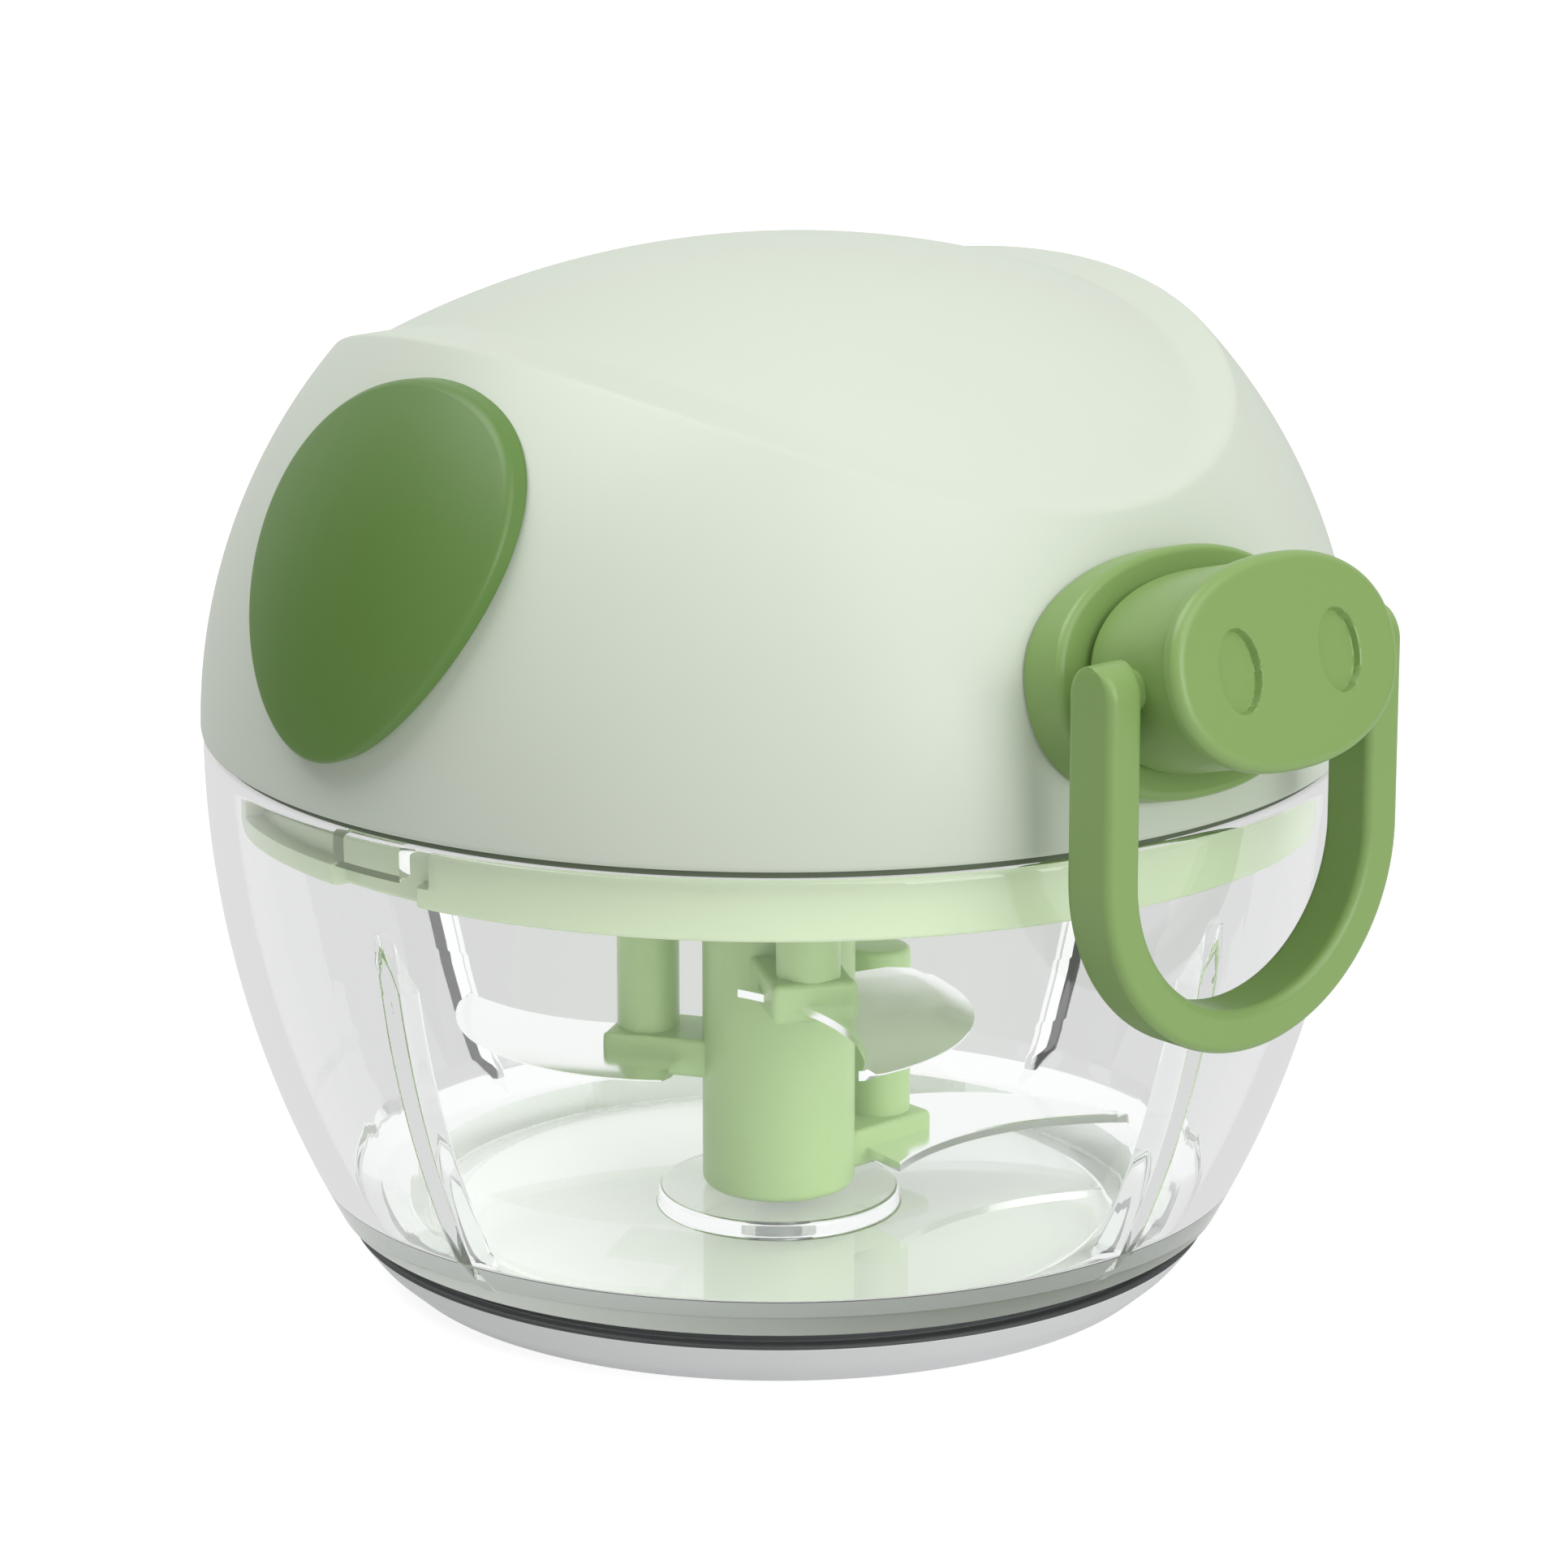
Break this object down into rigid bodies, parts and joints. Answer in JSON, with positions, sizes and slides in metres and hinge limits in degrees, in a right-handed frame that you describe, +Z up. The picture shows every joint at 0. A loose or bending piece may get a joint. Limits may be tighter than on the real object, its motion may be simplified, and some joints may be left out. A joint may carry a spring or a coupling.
{
  "type": "manual pull cord food chopper",
  "caption": "Round hand chopper: clear bowl with foot, domed lid with ear pads and a cord reel, bladed rotor, snout-shaped pull knob with a swinging ring.",
  "frame": {"origin": "centre of the underside of the foot", "axes": "+Z up along the rotor's axis, -Y towards the pull knob, +X towards the right ear pad"},
  "size_m": [0.0966, 0.1065, 0.0845],
  "materials": {
    "clear_bowl": "clear polished plastic",
    "frosted_foot": "frosted silicone",
    "steel": "plain steel",
    "gasket": "dark silicone",
    "lid_plastic": "satin moulded plastic",
    "ear_green": "soft satin plastic",
    "pale_green": "satin moulded plastic",
    "snout_green": "satin moulded plastic",
    "white_plastic": "moulded plastic",
    "acetal": "low friction plastic",
    "cord": "braided cord",
    "spring_steel": "blued spring strip",
    "blade_steel": "polished blade"
  },
  "bodies": {
    "bowl": {"bowl": "clear_bowl", "base_pad": "frosted_foot", "pivot_pin": "steel"},
    "seal": {"lid_gasket": "gasket"},
    "lid": {"lid_shell": "lid_plastic", "left_ear_pad": "ear_green", "right_ear_pad": "ear_green", "lower_cover": "pale_green", "cord_guide": "snout_green", "guide_clip": "white_plastic", "cover_screws": "steel", "shaft_bush": "acetal", "spindle": "steel", "cord_run": "cord"},
    "reel": {"spool": "white_plastic", "wound_cord": "cord", "rewind_spring": "spring_steel", "spring_cover": "white_plastic"},
    "rotor": {"drive_shaft": "steel", "clutch_pawls": "acetal", "blade_hub": "pale_green", "upper_blade": "blade_steel", "middle_blade": "blade_steel", "lower_blade": "blade_steel"},
    "knob": {"snout_cup": "snout_green", "snout_cap": "snout_green", "cord_knot": "cord"},
    "ring": {"pull_ring": "snout_green"}
  },
  "joints": [
    {"name": "lid_lift", "type": "slide", "parent": "bowl", "child": "seal", "axis": [0, 0, 1], "range_m": [0, 0.06]},
    {"name": "lid_twist", "type": "hinge", "parent": "seal", "child": "lid", "pos_m": [0, 0, 0.0456], "axis": [0, 0, 1], "range_deg": [0, 20]},
    {"name": "knob_pull", "type": "slide", "parent": "lid", "child": "knob", "axis": [0, -0.9659, 0.2588], "range_m": [0, 0.33], "stiffness_N_per_m": 8, "springref_m": -0.15, "deforming": ["cord_run"]},
    {"name": "reel_turn", "type": "hinge", "parent": "lid", "child": "reel", "pos_m": [0, 0, 0.0555], "axis": [0, 0, 1], "range_deg": [-1200, 10], "deforming": ["rewind_spring"]},
    {"name": "rotor_spin", "type": "hinge", "parent": "lid", "child": "rotor", "pos_m": [0, 0, 0.045], "axis": [0, 0, 1], "range_deg": [-1200, 10]},
    {"name": "ring_swing", "type": "hinge", "parent": "knob", "child": "ring", "pos_m": [0, -0.05216, 0.05958], "axis": [-1, 0, 0], "range_deg": [-5, 180]}
  ],
  "couplings": [
    {"joint": "reel_turn", "follows": "knob_pull", "rad_per_m": -62.893},
    {"joint": "rotor_spin", "follows": "knob_pull", "rad_per_m": -62.893}
  ]
}
